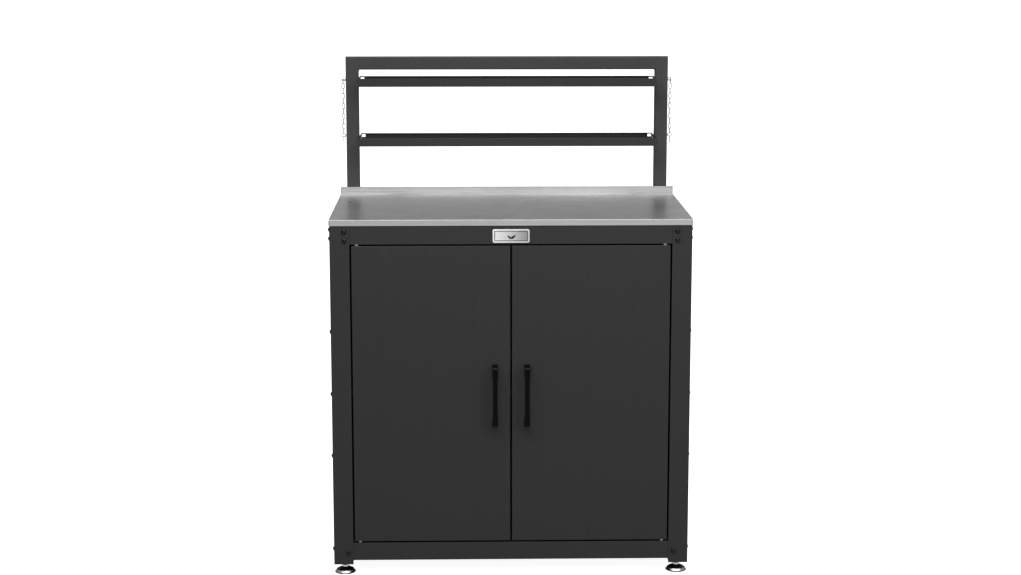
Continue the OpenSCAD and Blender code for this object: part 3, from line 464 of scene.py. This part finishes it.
def round_edges(bm, fold_r, rim_r, steps=4):
    """Rounds the folds and the cut rims of a sheet, and marks what was rounded for the edge wear and
    painted highlight.
    """
    layer = bm.verts.layers.float.get("edge") or bm.verts.layers.float.new("edge")
    folds, rims = [], []
    for edge in bm.edges:
        if len(edge.link_faces) != 2 or edge.calc_length() < SHORT_EDGE or not edge.is_convex:
            continue
        if edge.calc_face_angle(0) < math.radians(40):
            continue
        thin = min(face_width(face, edge) for face in edge.link_faces) < RIM_FACE_W
        (rims if thin else folds).append(edge)
    for edges, radius, count in ((folds, fold_r, steps), (rims, rim_r, 2)):
        edges = [e for e in edges if e.is_valid]
        if not edges or radius <= 0:
            continue
        made = bmesh.ops.bevel(bm, geom=edges, offset=radius, offset_type="OFFSET", segments=count,
                               profile=0.5, affect="EDGES", clamp_overlap=True, material=-1)
        mark_rounding(made, layer)
    return bm


def folded_sheet(node, slot, fold_r=FOLD_R, finish=None):
    bm = round_edges(merged_copy(node), fold_r, RIM_R)
    return finish_piece(bm, node + "_formed", node, slot, finish=finish)


# Bolts and other turned pieces

FRAME_BOLT = {"shank_r": 3 * MM, "socket_r": 2.3 * MM}
TRAY_BOLT = {"shank_r": 2.5 * MM, "socket_r": 1.8 * MM, "longest_washer": 3 * MM}
WIDEST_WASHER = 12 * MM


def loose_solids(node):
    """The lowest and highest corner and the points of each separate solid in a CAD node."""
    bm = merged_copy(node)
    left, found = set(bm.verts), []
    while left:
        island, open_ends = set(), [left.pop()]
        while open_ends:
            vert = open_ends.pop()
            island.add(vert)
            for edge in vert.link_edges:
                other = edge.other_vert(vert)
                if other in left:
                    left.remove(other)
                    open_ends.append(other)
        points = [v.co.copy() for v in island]
        low = Vector(min(p[i] for p in points) for i in range(3))
        high = Vector(max(p[i] for p in points) for i in range(3))
        found.append((low, high, points))
    bm.free()
    return sorted(found, key=lambda s: tuple(round(c, 5) for c in (*s[0], *s[1])))


def ring_out(bm, edges, radius, z):
    """Extrudes a round rim to a new radius and height, and returns the new rim."""
    made = bmesh.ops.extrude_edge_only(bm, edges=edges)["geom"]
    for vert in verts_of(made):
        vert.co.xy = vert.co.xy.normalized() * radius
        vert.co.z = z
    return [g for g in made if isinstance(g, bmesh.types.BMEdge)]


def turned_side(outline, steps):
    """A turned shape about Z with its far end open, from (radius, z) points: returns it and its rim."""
    bm = bmesh.new()
    bmesh.ops.create_circle(bm, cap_ends=True, segments=steps, radius=outline[0][0])
    for vert in bm.verts:
        vert.co.z = outline[0][1]
    edges = list(bm.edges)
    for radius, z in outline[1:]:
        edges = ring_out(bm, edges, radius, z)
    return bm, edges


def close_end(bm, edges):
    bmesh.ops.contextual_create(bm, geom=edges)
    bmesh.ops.recalc_face_normals(bm, faces=bm.faces)


def turned(outline, steps=24):
    """A closed turned shape about Z from its outline, a list of (radius, z) from end to end."""
    bm, edges = turned_side(outline, steps)
    close_end(bm, edges)
    return bm


def button_bolt(head_r, head_h, shank_r, shank_l, socket_r):
    """A domed bolt standing on z = 0 with a hexagonal socket, its thread end chamfered."""
    skirt, rise = 0.12, 0.83
    dome = [(head_r, skirt * head_h)]
    for step in range(1, 5):
        angle = math.radians(18 * step)
        dome.append((head_r * math.cos(angle) ** 0.8, head_h * (skirt + rise * math.sin(angle))))
    shank = [(shank_r * 0.7, -shank_l), (shank_r, -shank_l + 0.3 * shank_r), (shank_r, 0)]
    bm, edges = turned_side([*shank, (head_r * 0.96, 0), *dome], 24)
    edges = ring_out(bm, edges, socket_r * 1.12, head_h * 0.97)
    half_side = math.radians(30)
    for depth in (0.9, 0.4):
        edges = ring_out(bm, edges, socket_r, head_h * depth)
        for vert in {v for e in edges for v in e.verts}:
            turn = math.atan2(vert.co.y, vert.co.x) % (2 * half_side) - half_side
            vert.co.xy = vert.co.xy * (math.cos(half_side) / math.cos(turn))
    close_end(bm, edges)
    # The top of the head is marked for the edge wear and painted highlight
    layer = bm.verts.layers.float.new("edge")
    for vert in bm.verts:
        if vert.co.z > 0.8 * head_h:
            vert[layer] = 0.6
    return bm


def bolt_place(solid):
    """Where a bolt's head meets the sheet, with +Z out of the head, and its head and shank sizes."""
    low, high, points = solid
    size = high - low
    axis = max(range(3), key=lambda i: size[i])
    others = [i for i in range(3) if i != axis]
    middle = (low + high) / 2
    head_r = size[others[0]] / 2
    wide = [p for p in points if math.hypot(*(p[i] - middle[i] for i in others)) > 0.9 * head_r]
    seat = wide[0][axis]
    ends = (low[axis], high[axis])
    head_up = abs(ends[1] - seat) < abs(ends[0] - seat)
    top = ends[1] if head_up else ends[0]
    tip = ends[0] if head_up else ends[1]
    place = middle.copy()
    place[axis] = seat
    out = Vector((0, 0, 0))
    out[axis] = 1 if head_up else -1
    turn = out.to_track_quat("Z", "Y").to_matrix().to_4x4()
    return Matrix.Translation(place) @ turn, head_r, abs(top - seat), abs(seat - tip)


def washer(solid, bore_r):
    """A washer with chamfered rims in the place of a CAD solid."""
    size = solid[1] - solid[0]
    half, rim_r, chamfer = min(size) / 2, max(size) / 2, 0.3 * MM
    bm = turned([(bore_r, -half), (rim_r - chamfer, -half), (rim_r, chamfer - half),
                 (rim_r, half - chamfer), (rim_r - chamfer, half), (bore_r, half)], 32)
    axis = Vector(1.0 if s == min(size) else 0.0 for s in size)
    turn = axis.to_track_quat("Z", "Y").to_matrix().to_4x4()
    bm.transform(Matrix.Translation((solid[0] + solid[1]) / 2) @ turn)
    return bm


def bolts(node, slot, name, shank_r, socket_r, longest_washer=0.0):
    """Domed bolts in the places of a CAD node's solids, and washers in those of its short ones."""
    bm = bmesh.new()
    for solid in loose_solids(node):
        size = solid[1] - solid[0]
        if min(size) < longest_washer and max(size) < WIDEST_WASHER:
            one = washer(solid, shank_r + 0.1 * MM)
        else:
            place, head_r, head_h, shank_l = bolt_place(solid)
            one = button_bolt(head_r, head_h, shank_r, shank_l, socket_r)
            one.transform(place)
        join(bm, one)
    return finish_piece(bm, name, node, slot)


# The doors

CHANNEL_W = 48 * MM
RIB_W = 17 * MM
RIB_RAMP = 6 * MM
RIB_RISE = 0.9 * MM
RIB_PAST = 14 * MM
RAMP_STEPS = 3


def cut_faces(bm, faces, place, axis):
    """Cuts faces across at a place on an axis, 0 for X or 2 for Z."""
    at, normal = Vector((0, 0, 0)), Vector((0, 0, 0))
    at[axis], normal[axis] = place, 1.0
    edges = {e for f in faces for e in f.edges}
    verts = {v for f in faces for v in f.verts}
    bmesh.ops.bisect_plane(bm, geom=[*faces, *edges, *verts], dist=0.001 * MM, plane_co=at,
                           plane_no=normal)


def door(side):
    """A door pan with soft folds, and the shallow ribs that its channels press through its face."""
    node = side + "_door_panel"
    bm = round_edges(merged_copy(node), FOLD_R, RIM_R)
    front_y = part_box(node)[0].y
    low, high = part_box(side + "_door_stiffeners")
    pitch = (high.x - low.x - CHANNEL_W) / 2
    ribs = [(low.x + high.x) / 2 + i * pitch for i in (-1, 0, 1)]
    steps = [i * RIB_RAMP / RAMP_STEPS for i in range(RAMP_STEPS + 1)]
    bottom, top = low.z - RIB_PAST, high.z + RIB_PAST
    cuts = [(x + s * (RIB_W / 2 - step), 0) for x in ribs for s in (-1, 1) for step in steps]
    cuts += [(z, 2) for step in steps for z in (bottom + step, top - step)]
    for place, axis in cuts:
        front = [f for f in bm.faces if abs(f.calc_center_median().y - front_y) < TOUCH]
        cut_faces(bm, front, place, axis)
    for vert in bm.verts:
        across = RIB_W / 2 - min(abs(vert.co.x - x) for x in ribs)
        inward = min(across, vert.co.z - bottom, top - vert.co.z) / RIB_RAMP
        if abs(vert.co.y - front_y) < TOUCH and inward > 0:
            vert.co.y -= RIB_RISE * math.sin(math.radians(90) * min(inward, 1)) ** 2
    return finish_piece(bm, side + "_door_skin", node, "door_paint")


HANDLE_T = 8 * MM
HANDLE_BEND = 14 * MM
HANDLE_END_L = 25 * MM
HANDLE_TAPER = 7 * MM
GRIP_W = 12.5 * MM


def handle(side):
    """A strap handle: two wide feet, bent legs and a narrower grip, all with rounded arrises."""
    node = side + "_handle"
    low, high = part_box(node)
    x, end_w = (low.x + high.x) / 2, high.x - low.x
    bm = bmesh.new()
    bmesh.ops.create_grid(bm, x_segments=1, y_segments=1, size=0.5)
    bmesh.ops.scale(bm, vec=(end_w, HANDLE_T, 1), verts=bm.verts)
    bmesh.ops.rotate(bm, matrix=Matrix.Rotation(math.radians(90), 3, "X"), verts=bm.verts)
    bmesh.ops.translate(bm, vec=(x, high.y, high.z - HANDLE_T / 2), verts=bm.verts)

    def push(face, move, width=None):
        made = pull(bm, [face], move)
        verts = verts_of(made)
        if width is not None:
            now = max(v.co.x for v in verts) - min(v.co.x for v in verts)
            bmesh.ops.scale(bm, vec=(width / now, 1, 1), space=Matrix.Translation((-x, 0, 0)),
                            verts=verts)
        if face.is_valid:
            bmesh.ops.delete(bm, geom=[face], context="FACES_ONLY")
        return next(g for g in made if isinstance(g, bmesh.types.BMFace))

    def turn(face, z):
        made = bmesh.ops.spin(bm, geom=[face], cent=(x, low.y + HANDLE_BEND, z), axis=(1, 0, 0),
                              angle=math.radians(90), steps=8, use_merge=False)["geom_last"]
        return next(g for g in made if isinstance(g, bmesh.types.BMFace))

    leg = low.y + HANDLE_BEND - high.y
    wide_l = HANDLE_END_L - HANDLE_BEND
    grip_l = high.z - low.z - 2 * HANDLE_END_L - 2 * HANDLE_TAPER
    end = push(bm.faces[:][0], (0, leg, 0))
    end = turn(end, high.z - HANDLE_BEND)
    end = push(end, (0, 0, -wide_l))
    end = push(end, (0, 0, -HANDLE_TAPER), GRIP_W)
    end = push(end, (0, 0, -grip_l))
    end = push(end, (0, 0, -HANDLE_TAPER), end_w)
    end = push(end, (0, 0, -wide_l))
    end = turn(end, low.z + HANDLE_BEND)
    push(end, (0, -leg, 0))
    bmesh.ops.remove_doubles(bm, verts=bm.verts, dist=TOUCH)
    bmesh.ops.recalc_face_normals(bm, faces=bm.faces)
    arrises = [e for e in bm.edges
               if len(e.link_faces) == 2 and e.calc_face_angle(0) > math.radians(60)]
    layer = bm.verts.layers.float.new("edge")
    made = bmesh.ops.bevel(bm, geom=arrises, offset=1.6 * MM, offset_type="OFFSET", segments=4,
                           profile=0.5, affect="EDGES", clamp_overlap=True, material=-1)
    mark_rounding(made, layer, 0.5)
    return finish_piece(bm, side + "_handle_strap", node, "handle_paint")


# The nameplate: a blank brushed plate with an engraved border and a plain two-leaf sprig

PLATE_CORNER_R = 4.5 * MM
PLATE_RIM_W = 3.8 * MM
GROOVE_W = 1.6 * MM
GROOVE_D = 0.35 * MM
GROOVE_WALL = 0.15 * MM
LEAF_L = 15 * MM
LEAF_W = 3.6 * MM
LEAF_T = 0.45 * MM
LEAVES = ((38, 1.0), (142, 0.86))


def sprig(height):
    """Two raised leaves that spread from one point, standing on a height."""
    bm = bmesh.new()
    for turn, size in LEAVES:
        blade = bmesh.new()
        bmesh.ops.create_circle(blade, cap_ends=True, segments=20, radius=1.0)
        for vert in blade.verts:
            along = (vert.co.x + 1) / 2
            width = LEAF_W * size * (1 - along) ** 0.45
            vert.co = Vector((along * LEAF_L * size, vert.co.y * width, 0))
        pull(blade, blade.faces[:], (0, 0, LEAF_T))
        root = Matrix.Translation((0, -6.5 * MM, height))
        blade.transform(root @ Matrix.Rotation(math.radians(turn), 4, "Z"))
        join(bm, blade)
    bmesh.ops.recalc_face_normals(bm, faces=bm.faces)
    for face in bm.faces:
        face.material_index = 1
    return bm


def nameplate():
    low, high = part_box("nameplate")
    bm = bmesh.new()
    bmesh.ops.create_grid(bm, x_segments=1, y_segments=1, size=0.5)
    bmesh.ops.scale(bm, vec=(high.x - low.x, high.z - low.z, 1), verts=bm.verts)
    bmesh.ops.bevel(bm, geom=bm.verts[:], offset=PLATE_CORNER_R, offset_type="OFFSET", segments=8,
                    profile=0.5, affect="VERTICES", material=-1)
    rise = high.y - low.y - 0.02 * MM
    pull(bm, bm.faces[:], (0, 0, rise))
    bmesh.ops.recalc_face_normals(bm, faces=bm.faces)
    top = max(bm.faces, key=lambda f: f.calc_center_median().z)
    layer = bm.verts.layers.float.new("edge")
    rounded = bmesh.ops.bevel(bm, geom=list(top.edges), offset=0.5 * MM, offset_type="OFFSET",
                              segments=3, profile=0.5, affect="EDGES", material=-1)
    mark_rounding(rounded, layer)
    top = max(bm.faces, key=lambda f: (round(f.calc_center_median().z, 6), f.calc_area()))
    bmesh.ops.inset_region(bm, faces=[top], thickness=PLATE_RIM_W, depth=0)
    for face in bm.faces:
        face.material_index = 0 if face == top else 2
    for width, depth in ((GROOVE_WALL, -GROOVE_D), (GROOVE_W, 0), (GROOVE_WALL, GROOVE_D)):
        for face in bmesh.ops.inset_region(bm, faces=[top], thickness=width, depth=depth)["faces"]:
            face.material_index = 1
    join(bm, sprig(rise - 0.02 * MM))
    bm.transform(Matrix.Translation(((low.x + high.x) / 2, high.y, (low.z + high.z) / 2))
                 @ Matrix.Rotation(math.radians(90), 4, "X"))
    return finish_piece(bm, "nameplate_blank", "nameplate", "plate_metal", [ENGRAVED, PLATE_RIM_PAINTED_SHEEN])


# The feet

DISH_LOW = 3.2 * MM
DISH_HIGH = 7.9 * MM
THREAD_ROOT_R = 4.3 * MM
THREAD_CREST_R = 5.0 * MM
THREAD_PITCH = 1.5 * MM
THREAD_STEPS = 20
COLLAR_H = 5 * MM


def foot_pad(corner):
    """A foot's rubber sole, bright dish and black cone."""
    node = corner + "_foot_pad"
    low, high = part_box(node)
    middle = (low + high) / 2
    radius, top = (high.x - low.x) / 2, high.z - low.z
    sole = [(radius - 2.2 * MM, 0), (radius - 0.8 * MM, 0.3 * MM), (radius, 1.2 * MM),
            (radius, 2.2 * MM), (radius - 0.5 * MM, 2.9 * MM), (radius - 1.0 * MM, 3.1 * MM)]
    dish = [(radius - 1.2 * MM, DISH_LOW), (radius - 1.7 * MM, DISH_LOW + 0.5 * MM),
            (radius - 4.0 * MM, DISH_HIGH - 0.4 * MM), (radius - 4.6 * MM, DISH_HIGH)]
    cone = [(radius - 4.7 * MM, 8.1 * MM), (radius - 5.2 * MM, 8.6 * MM), (11.2 * MM, top - 0.9 * MM),
            (10.2 * MM, top - 0.2 * MM), (9.4 * MM, top)]
    bm = turned([*sole, *dish, *cone], 64)
    for face in bm.faces:
        if DISH_LOW < face.calc_center_median().z < DISH_HIGH and len(face.verts) == 4:
            face.material_index = 1
    # The sole's rim is marked for the edge wear and painted highlight
    layer = bm.verts.layers.float.new("edge")
    for vert in bm.verts:
        vert[layer] = 0.4 if abs(vert.co.xy.length - radius) < 1 * MM else 0.0
    bm.transform(Matrix.Translation((middle.x, middle.y, low.z)))
    return finish_piece(bm, corner + "_foot_base", node, "foot_rubber", [FOOT_RING])


def thread(length):
    """A helical ridge from z = 0 upwards, in whole turns that a length has room for."""
    turns = int(length / THREAD_PITCH)
    inner_r, foot_h, tip_h = THREAD_ROOT_R - 0.15 * MM, 0.62 * MM, 0.12 * MM
    outline = [(inner_r, -foot_h), (THREAD_CREST_R, -tip_h), (THREAD_CREST_R, tip_h), (inner_r, foot_h)]
    bm = bmesh.new()
    bm.faces.new([bm.verts.new((radius, 0, z)) for radius, z in outline])
    bmesh.ops.spin(bm, geom=bm.faces[:], cent=(0, 0, 0), axis=(0, 0, 1),
                   dvec=(0, 0, THREAD_PITCH / THREAD_STEPS), angle=math.radians(360 * turns),
                   steps=THREAD_STEPS * turns, use_merge=False)
    bmesh.ops.recalc_face_normals(bm, faces=bm.faces)
    return bm


def collar(radius):
    """A hexagonal collar with soft edges, standing on z = 0."""
    bm = bmesh.new()
    bmesh.ops.create_circle(bm, cap_ends=True, segments=6, radius=radius)
    pull(bm, bm.faces[:], (0, 0, COLLAR_H))
    bmesh.ops.recalc_face_normals(bm, faces=bm.faces)
    bmesh.ops.bevel(bm, geom=bm.edges[:], offset=0.5 * MM, offset_type="OFFSET", segments=2,
                    profile=0.5, affect="EDGES", material=-1)
    return bm


def foot_stud(corner):
    """A foot's stud: its core with a thread wound round it, and its hexagonal collar."""
    node = corner + "_foot_stud"
    low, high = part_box(node)
    middle = (low + high) / 2
    start = low.z + COLLAR_H + 0.3 * MM
    bm = turned([(THREAD_ROOT_R - 0.8 * MM, low.z), (THREAD_ROOT_R, low.z + 0.2 * MM),
                 (THREAD_ROOT_R, high.z - 1.2 * MM), (THREAD_ROOT_R - 1.0 * MM, high.z)], 24)
    ridge = thread(high.z - 1.6 * MM - start)
    ridge.transform(Matrix.Translation((0, 0, start + 0.7 * MM)))
    join(bm, ridge)
    hexagon = collar((high.x - low.x) / 2)
    hexagon.transform(Matrix.Translation((0, 0, low.z)))
    join(bm, hexagon)
    bm.transform(Matrix.Translation((middle.x, middle.y, 0)))
    return finish_piece(bm, corner + "_foot_screw", node, "stud_chrome")


def paint_cad_nodes():
    """Gives every CAD node its material, whether it shows or not."""
    for row in frame["record"]["subparts"]:
        materials = frame["nodes"][row["node"]].data.materials
        materials.clear()
        materials.append(MATERIALS[row["material_slot"]])


def make_pieces():
    for side in SIDES:
        door(side)
        handle(side)
        folded_sheet(side + "_front_leg", "frame_paint")
        folded_sheet(side + "_rear_leg", "frame_paint")
    for place in ("front_top_rail", "rear_top_rail", "side_top_rails", "front_bottom_rail",
                  "rear_bottom_rail", "side_bottom_rails"):
        folded_sheet(place, "frame_paint")
    for sheet in ("inner_shelf", "shelf_angles"):
        folded_sheet(sheet, "panel_paint", SHELF_FOLD_R)
    for tray in ("upper_tray", "lower_tray"):
        folded_sheet(tray, "rack_paint", TRAY_FOLD_R, TRAY_COAT_PAINTED_SHADE)
    folded_sheet("worktop", "worktop_steel", LIP_FOLD_R)
    bolts("frame_bolts", "black_bolts", "frame_bolt_set", **FRAME_BOLT)
    bolts("rack_bolts", "black_bolts", "rack_bolt_set", **FRAME_BOLT)
    bolts("tray_bolts", "zinc_hardware", "tray_bolt_set", **TRAY_BOLT)
    nameplate()
    for corner in CORNERS:
        foot_pad(corner)
        foot_stud(corner)


# The studio: light levels of the sky, and of the floor as each kind of ray meets it

SKY_FRONT = 0.32
SKY_BACK = 0.29
SKY_TOP = 0.2
FLOOR_BOUNCE = 0.17
FLOOR_SHINE = 0.7
FLOOR_SEEN = 0.85
FLOOR_GLOW = 0.93
FLOOR_HALF_W = 120
FLOOR_DROP = 0.2 * MM


def floor():
    made, tree, shader, place = start_material("pale_floor")
    tone = spread(tree, noise(tree, place, 0.8, 2.0), 0.3, 0.7, 0.97, 1.0)
    path = add(tree, "ShaderNodeLightPath").outputs
    seen = path["Is Camera Ray"]
    level = maths(tree, "ADD", maths(tree, "MULTIPLY", seen, FLOOR_SEEN - FLOOR_BOUNCE), FLOOR_BOUNCE)
    shine = maths(tree, "MULTIPLY", path["Is Glossy Ray"], FLOOR_SHINE - FLOOR_BOUNCE)
    level = maths(tree, "MULTIPLY", maths(tree, "ADD", level, shine), tone)
    tree.links.new(brightened(tree, (1, 1, 1), level), shader.inputs["Base Color"])
    tree.links.new(maths(tree, "MULTIPLY", seen, FLOOR_GLOW), shader.inputs["Emission Strength"])
    shader.inputs["Emission Color"].default_value = WHITE
    shader.inputs["Roughness"].default_value = 0.9
    shader.inputs["Specular IOR Level"].default_value = 0.1
    bm = bmesh.new()
    bmesh.ops.create_grid(bm, x_segments=1, y_segments=1, size=FLOOR_HALF_W)
    mesh = bpy.data.meshes.new("floor")
    bm.to_mesh(mesh)
    bm.free()
    mesh.materials.append(made)
    ground = bpy.data.objects.new("floor", mesh)
    ground.location.z = -FLOOR_DROP
    bpy.context.scene.collection.objects.link(ground)


def studio_sky():
    """White behind the bench for the camera, and for the light a softer sky, brighter above."""
    world = bpy.data.worlds.new("studio")
    bpy.context.scene.world = world
    world.use_nodes = True
    tree = world.node_tree
    tree.nodes.clear()
    direction = add(tree, "ShaderNodeTexCoord").outputs["Generated"]
    parts = add(tree, "ShaderNodeSeparateXYZ", {0: direction}).outputs
    behind = spread(tree, parts["Y"], -0.5, 0.7, SKY_FRONT, SKY_BACK)
    above = spread(tree, parts["Z"], 0.1, 0.9, 0.0, SKY_TOP)
    level = maths(tree, "ADD", behind, above)
    light = add(tree, "ShaderNodeBackground", {"Color": WHITE, "Strength": level}).outputs[0]
    white = add(tree, "ShaderNodeBackground", {"Color": WHITE, "Strength": 1.0}).outputs[0]
    seen = add(tree, "ShaderNodeLightPath").outputs["Is Camera Ray"]
    both = add(tree, "ShaderNodeMixShader", {0: seen, 1: light, 2: white}).outputs[0]
    add(tree, "ShaderNodeOutputWorld", {"Surface": both})



def softbox(name, place, aim, size, power):
    lamp = bpy.data.lights.new(name, "AREA")
    lamp.shape = "RECTANGLE"
    lamp.size, lamp.size_y = size
    lamp.energy = power
    made = bpy.data.objects.new(name, lamp)
    made.location = place
    made.rotation_euler = (Vector(aim) - Vector(place)).to_track_quat("-Z", "Y").to_euler()
    bpy.context.scene.collection.objects.link(made)


def overhead_sun():
    lamp = bpy.data.lights.new("overhead", "SUN")
    lamp.energy = 0.8
    lamp.angle = math.radians(70)
    made = bpy.data.objects.new("overhead", lamp)
    made.rotation_euler = (math.radians(14), math.radians(-6), 0)
    bpy.context.scene.collection.objects.link(made)


def light_the_bench():
    studio_sky()
    overhead_sun()
    softbox("key", place=(-0.2, -1.45, 2.55), aim=(0, -0.25, 0.9), size=(2.8, 1.0), power=44)
    softbox("fill", place=(2.7, -3.0, 2.4), aim=(0, -0.2, 0.85), size=(1.4, 2.0), power=40)
    bpy.context.scene.view_settings.view_transform = "Standard"


CAMERA_PLACE = (-0.1095, -5.2164, 1.6205)
CAMERA_DOWN = 9.9505
CAMERA_ASIDE = 1.2489
LENS = 70.18


def camera():
    lens = bpy.data.cameras.new("camera")
    lens.sensor_width = 36
    lens.lens = LENS
    lens.clip_end = 400
    made = bpy.data.objects.new("camera", lens)
    made.location = CAMERA_PLACE
    made.rotation_euler = (math.radians(90 - CAMERA_DOWN), 0, math.radians(-CAMERA_ASIDE))
    bpy.context.scene.collection.objects.link(made)
    bpy.context.scene.camera = made


paint_cad_nodes()
make_pieces()
floor()
light_the_bench()
camera()
